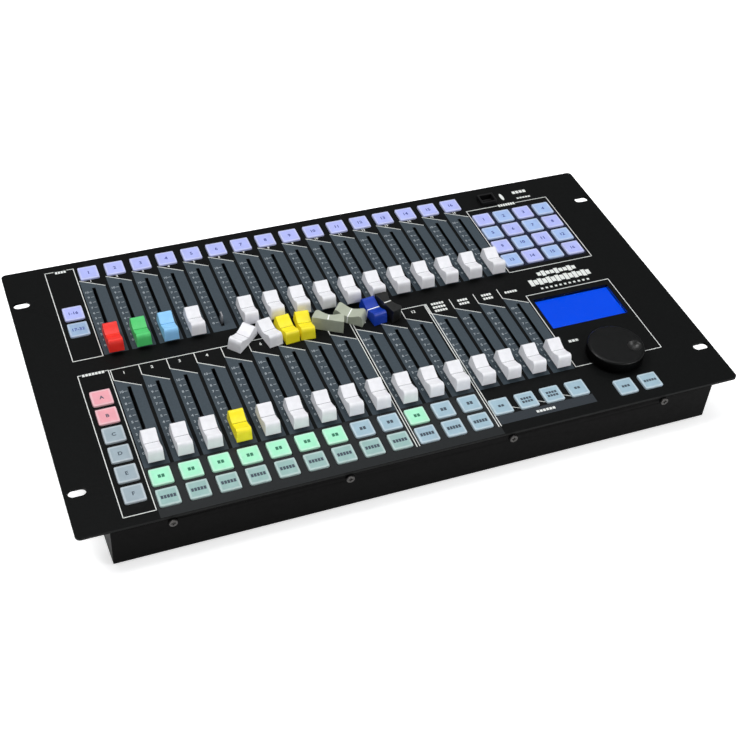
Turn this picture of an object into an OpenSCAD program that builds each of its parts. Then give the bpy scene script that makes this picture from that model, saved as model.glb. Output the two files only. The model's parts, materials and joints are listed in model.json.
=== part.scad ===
// Lighting control desk: a 19-inch, 6U rack panel with two banks of sixteen 60 mm faders,
// square keys, a display and a jog wheel, on a wedge-shaped sheet-steel case.
// Row frame: +X right, +Y to the rear, +Z up, origin on the table below the middle of the desk.
// Panel frame, used inside on_panel(): origin in the middle of the panel's upper face, +Z out of it.

/* [Panel] */
// Width of the 19-inch panel
panel_w = 482.6; // [482:0.1:483]
// Depth of the 6U panel along its slope
panel_d = 265.9; // [265:0.1:266.7]
// Thickness of the panel sheet
panel_t = 2; // [1.5:0.1:2.5]
// Radius of the panel's corners
panel_r = 3.5; // [1:0.5:6]

/* [Rack slots] */
// Distance between the slots across the panel
rack_x = 465.1; // [464:0.1:466]
// Distance between the slots along the slope
rack_y = 190.5; // [190:0.1:191]
// Length of a slot
rack_slot_l = 12; // [9:0.5:13]
// Width of a slot
rack_slot_w = 6.8; // [6.5:0.1:7.2]

/* [Case] */
// Width of the case under the panel
case_w = 440; // [430:1:444]
// Height of the case at its front wall
front_h = 33; // [30:1:40]
// Height of the case at its rear wall
rear_h = 78; // [70:1:90]
// Thickness of the case sheet
case_t = 1.2; // [1:0.1:1.6]
// Height of the rubber feet
foot_h = 3; // [2:0.5:6]

/* [Faders] */
// Number of faders in a bank
channels = 16; // [16:1:16]
// Distance between two faders
channel_pitch = 20; // [19.6:0.1:20.2]
// Place of the first fader
channel_x0 = -178.4; // [-179:0.1:-177]
// Travel of a fader
fader_travel = 60; // [50:1:60]
// Middle of the upper bank's travel
upper_y = 65; // [64:0.5:66]
// Middle of the lower bank's travel
lower_y = -45.5; // [-46:0.5:-45]
// Width of a fader cap
cap_w = 11; // [9:0.5:11.5]
// Length of a fader cap
cap_l = 24; // [20:0.5:24]

/* [Keys] */
// Side of a square key
key_w = 14.4; // [13:0.1:14.6]
// Height of a key above the panel
key_h = 1.2; // [1.1:0.1:3]
// Travel of a key
key_travel = 1; // [0.5:0.1:1]
// Distance between keys in a block
key_pitch = 18; // [17.8:0.1:18.4]

/* [Wheel and display] */
// Radius of the jog wheel
wheel_r = 21.2; // [18:0.1:21.5]
// Height of the wheel's top above the panel
wheel_top = 10; // [8:0.5:14]
// Width of the display opening
display_w = 64; // [60:0.5:66]
// Depth of the display opening
display_d = 34.2; // [30:0.1:36]

/* [Hidden] */
$fn = 48;
gap = 0.3;

tilt = atan((rear_h - front_h) / panel_d);
panel_z = foot_h + front_h * cos(tilt) + panel_d / 2 * sin(tilt);
screw_z = -5.6;
screw_head_d = 5.6;
screw_head_h = 1.6;
// the desk reaches forward to its screw heads, and back to the foot of its rear wall
front_reach = (panel_d / 2 + screw_head_h) * cos(tilt) + (screw_z + screw_head_d / 2) * sin(tilt);
rear_reach = panel_d / 2 * cos(tilt) + rear_h * sin(tilt);
panel_y = (front_reach - rear_reach) / 2;

// heights in the panel frame
board_top = -11;
board_t = 1.6;
housing_top = -4;
flange_top = -panel_t - 0.4;
flange_t = 1;
switch_h = 3.2;
switch_stem = 0.5;
lever_top = 8.3;
cap_base = 3;
cap_peak = 12.2;
cap_valley = 9.1;

// columns and rows of the controls, in the panel frame
select_x = -198.8;
page_y = [74.4, 56.2];
group_y0 = -17;
keypad_x0 = 140.3;
keypad_y0 = 91.8;
scene_y = 117;
on_y = -98.8;
flash_y = -117;
cue_y = -108;
mode_x = [156.3, 176.3];
mode_y = -117;
wheel_x = 165;
wheel_y = -84;
dimple_reach = 13.4;
dimple_turn = -22;
dimple_r = 6;
dimple_lift = 3;
display_x = 167;
display_y = -27.9;
lamp_x = 154;
lamp_y = 115.4;

// lamp socket: collar over the panel, body under it and the opening in both, as [x, y]
lamp_collar = [13.8, 11.4];
lamp_body = [12.2, 9.8];
lamp_opening = [11, 8.6];
lamp_collar_h = 3.4;

// the bare lever has lost its cap
bare_channel = 5;

red = [0.82, 0.10, 0.10];
green = [0.10, 0.62, 0.28];
sky = [0.36, 0.62, 0.90];
white = [0.93, 0.93, 0.93];
yellow = [0.95, 0.82, 0.12];
blue = [0.06, 0.22, 0.62];
stone = [0.62, 0.64, 0.60];
black = [0.06, 0.06, 0.07];
steel = [0.70, 0.71, 0.73];
board_green = [0.05, 0.30, 0.16];
lavender = [0.72, 0.72, 0.98];
mint = [0.59, 0.94, 0.70];
grey_blue = [0.62, 0.72, 0.78];

// ---------- frames and places ----------

module on_panel() {
  translate([0, panel_y, panel_z]) rotate([tilt, 0, 0]) children();
}

// rear wall frame: origin on the wall's outer face at the panel's edge, +Z outward, +X right,
// +Y up the wall
module on_rear_wall() {
  on_panel() translate([0, panel_d / 2, 0]) rotate([-90, 0, 0]) mirror([0, 1, 0]) children();
}

function channel_x(i) = channel_x0 + (i - 1) * channel_pitch;

scene_places = [for (i = [1:16]) [channel_x(i), scene_y]];
on_places = [for (i = [1:12]) [channel_x(i), on_y]];
flash_places = [for (i = [1:12]) [channel_x(i), flash_y]];
cue_places = [for (i = [13:16]) [channel_x(i), cue_y]];
mode_places = [for (x = mode_x) [x, mode_y]];
function_places = concat(cue_places, mode_places);
page_places = [for (y = page_y) [select_x, y]];
group_places = [for (i = [0:5]) [select_x, group_y0 - i * 18.2]];
select_places = concat(page_places, group_places);
keypad_places = [for (row = [0:3], col = [0:3])
  [keypad_x0 + col * key_pitch, keypad_y0 - row * key_pitch]];
key_places = concat(scene_places, on_places, flash_places, function_places, select_places, keypad_places);

// boards: middle x, middle y, width, depth
boards = [
  [-27.8, 67.5, 318.4, 115],
  [-27.8, -59.8, 318.4, 131.6],
  [-198.8, -16, 21, 204],
  [172, -11.5, 78, 228]
];
spacer_places = concat(
  [for (x = [-168.4, -8.4, 111.6], y = [105.5, 19, 1, -86.7]) [x, y]],
  [[select_x, 35], [select_x, 5], [142, 10], [195, 10], [207, 65], [205, -100], [138, -100]]
);
rack_places = [for (sx = [-1, 1], sy = [-1, 1]) [sx * rack_x / 2, sy * rack_y / 2]];
case_screw_x = [-180, -60, 60, 180];
foot_places = [[-195, -105], [195, -105], [-195, 105], [195, 105]];

// ---------- flat outlines ----------

module rounded_rect(w, d, r) {
  square([w - 2 * r, d], center = true);
  square([w, d - 2 * r], center = true);
  for (sx = [-1, 1], sy = [-1, 1]) translate([sx * (w / 2 - r), sy * (d / 2 - r)]) circle(r);
}

module slot_outline(length, width) {
  square([length - width, width], center = true);
  for (side = [-1, 1]) translate([side * (length - width) / 2, 0]) circle(width / 2);
}

// side outline of the case as [y, z] in the panel frame, shrunk by the wall thickness t
module case_outline(t) {
  front = -panel_d / 2 + t;
  rear = panel_d / 2 - t;
  slope = (rear_h - front_h) / panel_d;
  polygon([
    [front, -panel_t],
    [front, -front_h - slope * t + t / cos(tilt)],
    [rear, -rear_h + slope * t + t / cos(tilt)],
    [rear, -panel_t]
  ]);
}

// ---------- panel and case ----------

module top_panel() {
  color(black) on_panel() difference() {
    translate([0, 0, -panel_t]) linear_extrude(panel_t) rounded_rect(panel_w, panel_d, panel_r);
    translate([0, 0, -panel_t - 1]) linear_extrude(panel_t + 2) {
      for (p = rack_places) translate(p) slot_outline(rack_slot_l, rack_slot_w);
      for (i = [1:channels], y = [upper_y, lower_y])
        translate([channel_x(i), y]) rotate(90) slot_outline(68.4, 2.4);
      for (p = key_places) translate(p) rounded_rect(key_w + 2 * gap, key_w + 2 * gap, 2.3);
      translate([display_x, display_y]) square([display_w, display_d], center = true);
      translate([wheel_x, wheel_y]) circle(d = 7.4);
      translate([lamp_x, lamp_y]) square([lamp_body[0] + 0.4, lamp_body[1] + 0.4], center = true);
    }
  }
}

// two square bars under the panel's front and rear edges, which take the case screws
module panel_rails() {
  rail_y = panel_d / 2 - case_t - 2.5;
  color(steel) on_panel() for (side = [-1, 1]) difference() {
    translate([-215, side * rail_y - 2.5, -panel_t - 8]) cube([430, 5, 8]);
    for (x = case_screw_x) translate([x, side * rail_y, screw_z]) rotate([90, 0, 0])
      cylinder(d = 3, h = 12, center = true);
  }
}

module case_tray() {
  color(black) difference() {
    on_panel() rotate([90, 0, 90]) translate([0, 0, -case_w / 2]) linear_extrude(case_w) case_outline(0);
    on_panel() rotate([90, 0, 90]) translate([0, 0, -case_w / 2 + case_t])
      linear_extrude(case_w - 2 * case_t) case_outline(case_t);
    on_panel() for (x = case_screw_x) translate([x, 0, screw_z]) rotate([90, 0, 0])
      cylinder(d = 3.4, h = panel_d + 20, center = true);
    on_panel() translate([-215, -panel_d / 2 + case_t, -panel_t - 1])
      cube([430, panel_d - 2 * case_t, 4]);
    on_rear_wall() {
      for (x = xlr_x) translate([x, socket_drop, -5]) cylinder(d = 24, h = 10);
      translate([din_x, socket_drop, -5]) cylinder(d = 16, h = 10);
      translate([inlet_x, socket_drop, -5]) cylinder(d = 11, h = 10);
      translate([switch_x, socket_drop, 0]) cube([13.2, 19.2, 10], center = true);
    }
  }
}

// a pan-head screw with a cross recess, head up, its shank down from the origin
module cross_screw(shank_d, shank_l, head_d, head_h) {
  difference() {
    union() {
      cylinder(d = head_d, h = head_h);
      translate([0, 0, -shank_l]) cylinder(d = shank_d, h = shank_l);
    }
    for (turn = [0, 90]) rotate(turn) translate([0, 0, head_h])
      cube([head_d * 0.6, head_d * 0.16, head_h], center = true);
  }
}

module case_screws() {
  color(black) on_panel() for (x = case_screw_x, side = [-1, 1])
    translate([x, side * panel_d / 2, screw_z]) rotate([-side * 90, 0, 0])
      cross_screw(2.9, 6, screw_head_d, screw_head_h);
}

module rubber_feet() {
  color([0.12, 0.12, 0.12]) for (p = foot_places) translate(p) cylinder(d = 16, h = foot_h);
}

// ---------- faders ----------

// fixed metal body of one slide potentiometer, under the panel
module slider_housing() {
  difference() {
    translate([-4.5, -37.5, board_top]) cube([9, 75, housing_top - board_top]);
    translate([-3.5, -35.6, board_top + 1]) cube([7, 71.2, 5]);
    translate([-1.3, -34, board_top + 5]) cube([2.6, 68, 5]);
  }
}

module slider_housings() {
  color(steel) on_panel() for (i = [1:channels], y = [upper_y, lower_y])
    translate([channel_x(i), y, 0]) slider_housing();
}

// lever blade with the carriage that runs inside the housing
module fader_lever() {
  translate([-0.6, -2, -6]) cube([1.2, 4, lever_top + 6]);
  translate([-3.2, -5, board_top + 1.3]) cube([6.4, 10, 4.4]);
}

// side outline of the cap: steep ends and blunted shoulders
module cap_outline() {
  half = cap_l / 2;
  polygon([
    [-half, cap_base], [-half + 1.1, cap_peak - 2], [-half + 1.7, cap_peak - 0.7], [-half + 2.8, cap_peak],
    [half - 2.8, cap_peak], [half - 1.7, cap_peak - 0.7], [half - 1.1, cap_peak - 2], [half, cap_base]
  ]);
}

// cap with a dished top and a pocket for the lever
module fader_cap() {
  dish_half = 8.8;
  dish = cap_peak - cap_valley;
  dish_r = (dish_half * dish_half + dish * dish) / (2 * dish);
  difference() {
    rotate([90, 0, 90]) translate([0, 0, -cap_w / 2]) linear_extrude(cap_w) cap_outline();
    translate([0, 0, cap_valley + dish_r]) rotate([0, 90, 0])
      cylinder(r = dish_r, h = cap_w + 2, center = true, $fn = 128);
    translate([-0.65, -2.05, cap_base - 1]) cube([1.3, 4.1, lever_top + 0.05 - cap_base + 1]);
  }
}

module fader(i, middle_y, cap_color) {
  on_panel() translate([channel_x(i), middle_y - fader_travel / 2, 0]) {
    color(steel) fader_lever();
    if (cap_color != undef) color(cap_color) fader_cap();
  }
}

function upper_cap_color(i) = i == bare_channel ? undef : i <= 3 ? [red, green, sky][i - 1] : white;
function lower_cap_color(i) = i == 4 ? yellow : white;
function channel_name(i) = i < 10 ? str("0", i) : str(i);

// loose spare caps in the strip between the two banks: x, y, turn, lying on its side or not, colour
spare_list = [
  [-90, 10, -48, false, white], [-70, 9.8, 10, false, white], [-56.5, 9.5, 5, false, yellow],
  [-42.8, 9.8, -4, false, yellow], [-24.3, 7.3, 60, true, stone], [-7.2, 10.4, 50, false, stone],
  [11.4, 9.8, 8, false, blue], [23.6, 9.8, 14, true, black]
];

// cap that lies on the panel on its base, or on its side
module loose_cap(on_side) {
  if (on_side) translate([-(cap_base + cap_peak) / 2, 0, cap_w / 2]) rotate([0, 90, 0]) fader_cap();
  else translate([0, 0, -cap_base]) fader_cap();
}

module spare_caps() {
  on_panel() for (cap = spare_list)
    translate([cap[0], cap[1], 0.05]) rotate(cap[2]) color(cap[4]) loose_cap(cap[3]);
}

// ---------- keys ----------

// key with its face above the panel, a flange that holds it in and a plunger over its switch
module key_cap() {
  flange_z = flange_top - flange_t;
  plunger_z = board_top + switch_h + switch_stem + key_travel + gap;
  translate([0, 0, flange_top]) linear_extrude(key_h - flange_top) rounded_rect(key_w, key_w, 2);
  translate([0, 0, flange_z]) linear_extrude(flange_t) square(key_w + 2.4, center = true);
  translate([0, 0, plunger_z]) cylinder(d = 4, h = flange_z - plunger_z + 0.2);
}

module keys(places, key_color) {
  color(key_color) on_panel() for (p = places) translate(p) key_cap();
}

module key_switches() {
  color([0.2, 0.2, 0.22]) on_panel() for (p = key_places) translate(p) {
    translate([-6, -6, board_top]) cube([12, 12, switch_h]);
    translate([0, 0, board_top + switch_h - 0.2]) cylinder(d = 3.6, h = switch_stem + 0.2);
  }
}

// ---------- boards and fixings ----------

module control_boards() {
  color(board_green) on_panel() difference() {
    for (b = boards) translate([b[0] - b[2] / 2, b[1] - b[3] / 2, board_top - board_t])
      cube([b[2], b[3], board_t]);
    for (p = spacer_places) translate([p[0], p[1], board_top - 3]) cylinder(d = 3, h = 6);
  }
}

module board_fixings() {
  color(steel) on_panel() for (p = spacer_places) translate(p) {
    difference() {
      translate([0, 0, board_top]) cylinder(d = 5, h = -board_top - panel_t);
      translate([0, 0, board_top - 1]) cylinder(d = 2.6, h = 7);
    }
    translate([0, 0, board_top - board_t]) rotate([180, 0, 0]) cross_screw(2.5, 6, 4.6, 1.5);
  }
}

main_board_z = 16;

// processor board on four short studs over the case floor, at the rear
module main_board() {
  color(board_green) difference() {
    translate([20, 40, main_board_z]) cube([170, 70, board_t]);
    for (x = [26, 184], y = [46, 104]) translate([x, y, main_board_z - 1]) cylinder(d = 3.2, h = 4);
  }
  color(black) translate([60, 60, main_board_z + board_t]) cube([24, 24, 2]);
  color(black) translate([120, 62, main_board_z + board_t]) cube([18, 18, 2]);
  color(steel) for (x = [26, 184], y = [46, 104])
    translate([x, y, foot_h + case_t]) cylinder(d = 6, h = main_board_z - foot_h - case_t);
}

// flat leads from the main board up to the fader boards, with a plug at each end
module ribbon_cables() {
  for (x = [50, 150]) {
    color(stone) translate([x - 12, 0, 0]) rotate([90, 0, 90]) linear_extrude(24) polygon([
      [45, 24], [45, 25.2], [29.2, 25.2], [29.2, 44], [28, 44], [28, 24]
    ]);
    color(black) translate([x - 14, 45, main_board_z + board_t]) cube([28, 8, 8]);
    color(black) on_panel() translate([x - 14, 27, board_top - board_t - 8]) cube([28, 8, 8]);
  }
}

// ---------- display, wheel and lamp socket ----------

module display_window() {
  color([0.6, 0.7, 0.9, 0.5]) on_panel() translate([display_x, display_y, 0]) {
    translate([0, 0, -panel_t / 2 - 0.3])
      cube([display_w - 0.4, display_d - 0.4, panel_t], center = true);
    translate([0, 0, -panel_t - 0.8]) cube([display_w + 5, display_d + 5, 1], center = true);
  }
}

module display_module() {
  color([0, 0.27, 1]) on_panel() translate([display_x, display_y, 0]) {
    translate([0, 0, -6.4]) cube([display_w + 5, display_d + 7, 6], center = true);
    translate([0, 0, -10.2]) cube([display_w + 5, display_d + 7, 1.6], center = true);
  }
}

module encoder_body() {
  color(steel) on_panel() translate([wheel_x, wheel_y, 0]) difference() {
    union() {
      translate([-6.5, -6.5, board_top]) cube([13, 13, 6.5]);
      translate([0, 0, board_top + 6]) cylinder(d = 7, h = 7);
      cylinder(d = 11, h = 1.8, $fn = 6);
    }
    translate([0, 0, board_top + 1.5]) cylinder(d = 6.1, h = 20);
  }
}

module encoder_shaft() {
  color(steel) on_panel() translate([wheel_x, wheel_y, board_top + 2]) cylinder(d = 6, h = 17);
}

module jog_wheel() {
  color([0.16, 0.16, 0.17]) on_panel() translate([wheel_x, wheel_y, 0]) difference() {
    rotate_extrude($fn = 128) polygon([
      [0, 0.8], [wheel_r, 0.8], [wheel_r, wheel_top - 2], [wheel_r - 0.6, wheel_top - 0.6],
      [wheel_r - 2, wheel_top], [0, wheel_top]
    ]);
    translate([0, 0, -1]) cylinder(r = 12, h = 4);
    translate([0, 0, -1]) cylinder(r = 3.02, h = 9.05);
    rotate(dimple_turn) translate([dimple_reach, 0, wheel_top + dimple_lift]) sphere(r = dimple_r);
  }
}

// socket for a gooseneck lamp: an open collar on the panel, with a contact tongue down inside it
module lamp_socket() {
  color(black) on_panel() translate([lamp_x, lamp_y, 0]) {
    difference() {
      union() {
        translate([0, 0, lamp_collar_h / 2])
          cube([lamp_collar[0], lamp_collar[1], lamp_collar_h], center = true);
        translate([0, 0, -5.5]) cube([lamp_body[0], lamp_body[1], 13], center = true);
      }
      translate([0, 0, -3]) cube([lamp_opening[0], lamp_opening[1], 14], center = true);
    }
    translate([0, 0.8, -5]) cube([9, 1.8, 11], center = true);
  }
}

// ---------- rear connectors ----------

xlr_x = [60, 92];
din_x = 126;
inlet_x = 152;
switch_x = 180;
socket_drop = -38;

// female signal socket: flange, barrel and contact holes
module xlr_socket(pins) {
  difference() {
    union() {
      translate([-13, -15.5, 0]) cube([26, 31, 2]);
      translate([0, 0, -18]) cylinder(d = 23.6, h = 19);
    }
    difference() {
      translate([0, 0, -10]) cylinder(d = 18.8, h = 13);
      translate([0, 0, -11]) cylinder(d = 15.8, h = 12.6);
    }
    for (i = [0:pins - 1]) rotate(i * 360 / (pins == 3 ? 4 : pins + 1)) translate([5, 0, -9])
      cylinder(d = 2.6, h = 13);
    for (side = [-1, 1]) translate([side * 9.5, side * 12, -1]) cylinder(d = 3.2, h = 4);
  }
}

module din_socket() {
  difference() {
    union() {
      cylinder(d = 20, h = 1.5);
      translate([0, 0, -14]) cylinder(d = 15.6, h = 15);
    }
    for (i = [0:4]) rotate(-90 + (i - 2) * 45) translate([4.6, 0, -8]) cylinder(d = 1.6, h = 12);
    translate([-1.5, 5.4, -6]) cube([3, 1.4, 10]);
  }
}

module rear_sockets() {
  color(black) on_rear_wall() {
    translate([xlr_x[0], socket_drop, 0]) xlr_socket(3);
    translate([xlr_x[1], socket_drop, 0]) xlr_socket(5);
    translate([din_x, socket_drop, 0]) din_socket();
  }
}

module power_inlet() {
  color(black) on_rear_wall() translate([inlet_x, socket_drop, 0]) {
    difference() {
      union() {
        cylinder(d = 14, h = 1.6);
        translate([0, 0, -13]) cylinder(d = 10.6, h = 14);
      }
      translate([0, 0, -9]) cylinder(d = 6, h = 12);
    }
    translate([0, 0, -9.5]) cylinder(d = 2, h = 9);
  }
}

rocker_angle = 10;
rocker_pivot = -2.5;
rocker_w = 10.2;
rocker_pin_d = 2;

// open box with a flange, and a hole in each side wall for the rocker's pins
module switch_frame() {
  color(black) on_rear_wall() translate([switch_x, socket_drop, 0]) difference() {
    union() {
      translate([-7.5, -11.5, 0]) cube([15, 23, 1.6]);
      translate([-6.4, -9.4, -12]) cube([12.8, 18.8, 13]);
    }
    translate([-5.4, -8.9, -10.5]) cube([10.8, 17.8, 14]);
    translate([0, 0, rocker_pivot]) rotate([0, 90, 0])
      cylinder(d = rocker_pin_d + 0.1, h = 14, center = true);
  }
}

// rocker, dished in the middle, lying on its off side at rest, with a pin at each end of its pivot
module power_rocker() {
  color([0.15, 0.15, 0.16]) on_rear_wall() translate([switch_x, socket_drop, rocker_pivot]) {
    rotate([-rocker_angle, 0, 0]) translate([-rocker_w / 2, 0, 0]) rotate([90, 0, 90])
      linear_extrude(rocker_w)
        polygon([[-7.8, 0.5], [-7.8, 4.6], [0, 3], [7.8, 4.6], [7.8, 0.5], [3, -4], [-3, -4]]);
    rotate([0, 90, 0]) cylinder(d = rocker_pin_d, h = 12.4, center = true);
  }
}

// ---------- nodes ----------

top_panel();
panel_rails();
case_tray();
case_screws();
rubber_feet();
slider_housings();
control_boards();
board_fixings();
key_switches();
display_window();
display_module();
encoder_body();
encoder_shaft();
jog_wheel();
lamp_socket();
rear_sockets();
power_inlet();
switch_frame();
power_rocker();
main_board();
ribbon_cables();
spare_caps();
keys(scene_places, lavender);  // scene_keys
keys(select_places, grey_blue);  // select_keys
keys(keypad_places, lavender);  // keypad_keys
keys(on_places, mint);  // on_keys
keys(flash_places, grey_blue);  // flash_keys
keys(function_places, grey_blue);  // function_keys
for (i = [1:channels]) {
  fader(i, upper_y, upper_cap_color(i));
  fader(i, lower_y, lower_cap_color(i));
}
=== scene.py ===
"""The looks of a lighting control desk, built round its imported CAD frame.

What sits on the sloping panel is drawn in the panel frame, in millimetres: x to the right, y up
the slope and z out of the panel, from the middle of its upper face. PANEL carries it to the row frame.
"""

import json
import math

import bmesh
import bpy
from mathutils import Matrix, Vector


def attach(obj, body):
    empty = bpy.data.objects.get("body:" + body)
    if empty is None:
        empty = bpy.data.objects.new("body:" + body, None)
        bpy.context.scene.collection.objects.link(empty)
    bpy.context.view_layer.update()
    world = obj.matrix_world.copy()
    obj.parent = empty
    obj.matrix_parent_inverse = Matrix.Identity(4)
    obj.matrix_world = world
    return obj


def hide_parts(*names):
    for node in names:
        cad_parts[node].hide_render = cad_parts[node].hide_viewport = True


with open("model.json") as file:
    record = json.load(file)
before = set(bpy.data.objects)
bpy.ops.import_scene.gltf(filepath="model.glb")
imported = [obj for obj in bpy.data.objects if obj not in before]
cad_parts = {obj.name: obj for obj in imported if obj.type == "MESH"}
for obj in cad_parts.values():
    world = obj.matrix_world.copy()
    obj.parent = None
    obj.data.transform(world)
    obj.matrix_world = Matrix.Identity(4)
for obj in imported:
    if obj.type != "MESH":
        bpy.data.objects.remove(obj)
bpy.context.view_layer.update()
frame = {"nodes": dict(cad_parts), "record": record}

scene = bpy.context.scene
nodes = frame["nodes"]
record = frame["record"]

MM = 0.001
PANEL_T = 2.0
CHANNELS = range(1, 17)

# the fader cap and its lever
CAP_W = 11.0
CAP_BASE = 3.0
CAP_PEAK = 12.2
LEVER_TOP = 8.3

# the square keys
KEY_W = 14.4
KEY_TOP = 1.2
KEY_SKIRT = -1.4
KEY_HOLE = KEY_W / 2 + 0.35

# the panel's print: the heights of its layers, the width of a line and the edge it stops at
FIELD_Z = 0.01
GRID_Z = 0.012
STRIP_Z = 0.02
PRINT_Z = 0.04
LINE = 0.58
PANEL_FRONT = -132.5

# a fader's printed strip, from the fader's column: its sides, its slot's sides and its slanted top
STRIP_LEFT, STRIP_RIGHT = 8.6, 8.8
SLOT_HALF = 1.3
STRIP_SLANT = 10 / 17.4
UPPER_STRIP = {"top": 110.0, "bottom": 25.2, "slot_end": 99.6}
LOWER_STRIP = {"top": -2.2, "bottom": -88.5, "slot_end": -10.9}

# the fader scales: where each bank's ten is, and the step to the next number
SCALE_TOPS = (95.6, -14.9)
SCALE_STEP = 6.05

# the printed frames and the field under the cue keys: left, right, bottom and top
PAGE_FRAME = (-209.7, -188.3, 24.7, 125.8)
GROUP_FRAME = (-209.7, -188.3, -125, 9.2)
KEYPAD_FRAME = (131.7, 204.7, 24.5, 106.7)
DISPLAY_FRAME = (131.7, 203.3, -87.5, -5)
CUE_FIELD = (52.6, 129.8, -124, -115.8)


# ---------- places ----------


def panel_matrix():
    """The panel frame in the row frame, in metres, from the rack slots and a fader's direction."""
    slots = [Vector(m["pos_m"]) for m in record["mounts"] if m["name"].startswith("rack_slot")]
    slide = next(j for j in record["behaviour"]["joints"] if j["name"] == "fader_upper_01_slide")
    right = Vector((1, 0, 0))
    slope = Vector(slide["axis"]).normalized()
    normal = right.cross(slope)
    middle = sum(slots, Vector()) / len(slots) + normal * PANEL_T * MM
    turn = Matrix((right, slope, normal)).transposed().to_4x4()
    return Matrix.Translation(middle) @ turn


PANEL = panel_matrix()


def solid_boxes(node):
    """The panel-frame box of each separate solid of a node, in mm, from the rear and then the left."""
    mesh = bmesh.new()
    mesh.from_mesh(nodes[node].data)
    bmesh.ops.remove_doubles(mesh, verts=mesh.verts, dist=1e-6)
    to_panel = Matrix.Scale(1 / MM, 4) @ PANEL.inverted()
    seen = set()
    boxes = []
    for start in mesh.verts:
        if start in seen:
            continue
        seen.add(start)
        solid = [start]
        for vert in solid:
            for edge in vert.link_edges:
                other = edge.other_vert(vert)
                if other not in seen:
                    seen.add(other)
                    solid.append(other)
        points = [to_panel @ vert.co for vert in solid]
        boxes.append([Vector(map(min, *points)), Vector(map(max, *points))])
    mesh.free()
    return sorted(boxes, key=lambda b: (-round(b[0].y), b[0].x))


def middles(node):
    """The middle of each solid of a node, in the panel frame."""
    return [(low + high) / 2 for low, high in solid_boxes(node)]


def node_box(node):
    """The panel-frame box of a whole node, in mm."""
    boxes = solid_boxes(node)
    low = Vector(map(min, *[b[0] for b in boxes], boxes[0][0]))
    high = Vector(map(max, *[b[1] for b in boxes], boxes[0][1]))
    return low, high


def panel_spot(low, high, z=0):
    """The point at height z over the middle of a panel-frame box, in metres."""
    return Vector(((low.x + high.x) / 2, (low.y + high.y) / 2, z)) * MM


def fader_node(bank, i):
    return "fader_%s_%02d" % (bank, i)


# ---------- meshes ----------


def lattice(mesh, xs, ys, zs, place=None, slot=None):
    """Adds the skin of a block of cells. place moves each corner, slot picks each face's material."""
    place = place or (lambda x, y, z: (x, y, z))
    last = (len(xs) - 1, len(ys) - 1, len(zs) - 1)
    corners = {}

    def corner(i, j, k):
        if (i, j, k) not in corners:
            corners[i, j, k] = mesh.verts.new(place(xs[i], ys[j], zs[k]))
        return corners[i, j, k]

    def face(*cells):
        made = mesh.faces.new([corner(*cell) for cell in cells])
        if slot:
            middle = [sum(axis[c[n]] for c in cells) / 4 for n, axis in enumerate((xs, ys, zs))]
            made.material_index = slot(*middle)

    for i in range(last[0]):
        for j in range(last[1]):
            for k in (0, last[2]):
                face((i, j, k), (i + 1, j, k), (i + 1, j + 1, k), (i, j + 1, k))
        for k in range(last[2]):
            for j in (0, last[1]):
                face((i, j, k), (i + 1, j, k), (i + 1, j, k + 1), (i, j, k + 1))
    for j in range(last[1]):
        for k in range(last[2]):
            for i in (0, last[0]):
                face((i, j, k), (i, j + 1, k), (i, j + 1, k + 1), (i, j, k + 1))


def block(mesh, low, high, slot=0):
    """Adds a plain box between two corners."""
    lattice(mesh, *zip(low, high), slot=lambda x, y, z: slot)


def bar(mesh, x, y, w, d, slot=0, z=PRINT_Z):
    """Adds a thin printed rectangle round (x, y)."""
    block(mesh, (x - w / 2, y - d / 2, z - 0.03), (x + w / 2, y + d / 2, z), slot)


def line(mesh, start, end, width=LINE, slot=0, z=PRINT_Z):
    """Adds a thin printed line between two points."""
    a, b = Vector(start), Vector(end)
    along = (b - a).normalized()
    side = Vector((-along.y, along.x)) * width / 2
    reach = along * width / 2
    corners = [a - reach - side, b + reach - side, b + reach + side, a - reach + side]
    low = [mesh.verts.new((p.x, p.y, z - 0.03)) for p in corners]
    high = [mesh.verts.new((p.x, p.y, z)) for p in corners]
    faces = [mesh.faces.new(high), mesh.faces.new(low[::-1])]
    for n in range(4):
        m = (n + 1) % 4
        faces.append(mesh.faces.new([low[n], low[m], high[m], high[n]]))
    for made in faces:
        made.material_index = slot


def frame_lines(mesh, x0, x1, y0, y1, skip_top=None):
    """Adds a printed rectangle, with an optional gap in its top line for a label."""
    line(mesh, (x0, y0), (x0, y1))
    line(mesh, (x1, y0), (x1, y1))
    line(mesh, (x0, y0), (x1, y0))
    if skip_top:
        line(mesh, (x0, y1), (skip_top[0], y1))
        line(mesh, (skip_top[1], y1), (x1, y1))
    else:
        line(mesh, (x0, y1), (x1, y1))


# the number and letter shapes made so far
GLYPHS = {}


def glyphs(text):
    """The outline faces of a short number or letter, centred, 1 high, as (points, faces)."""
    if text not in GLYPHS:
        curve = bpy.data.curves.new("glyph", "FONT")
        curve.body = text
        curve.align_x = "CENTER"
        curve.align_y = "CENTER"
        curve.resolution_u = 3
        curve.offset = 0.028
        holder = bpy.data.objects.new("glyph", curve)
        data = bpy.data.meshes.new_from_object(holder)
        points = [v.co.copy() for v in data.vertices]
        height = max(p.y for p in points) - min(p.y for p in points)
        lift = (max(p.y for p in points) + min(p.y for p in points)) / 2
        shift = (max(p.x for p in points) + min(p.x for p in points)) / 2
        points = [((p.x - shift) / height, (p.y - lift) / height) for p in points]
        GLYPHS[text] = (points, [tuple(f.vertices) for f in data.polygons])
        bpy.data.objects.remove(holder)
        bpy.data.meshes.remove(data)
        bpy.data.curves.remove(curve)
    return GLYPHS[text]


def write(mesh, text, x, y, height, slot=0, z=PRINT_Z):
    """Adds a number or letter, flat, round (x, y)."""
    points, faces = glyphs(text)
    verts = [mesh.verts.new((x + p[0] * height, y + p[1] * height, z)) for p in points]
    for corners in faces:
        mesh.faces.new([verts[n] for n in corners]).material_index = slot


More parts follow.
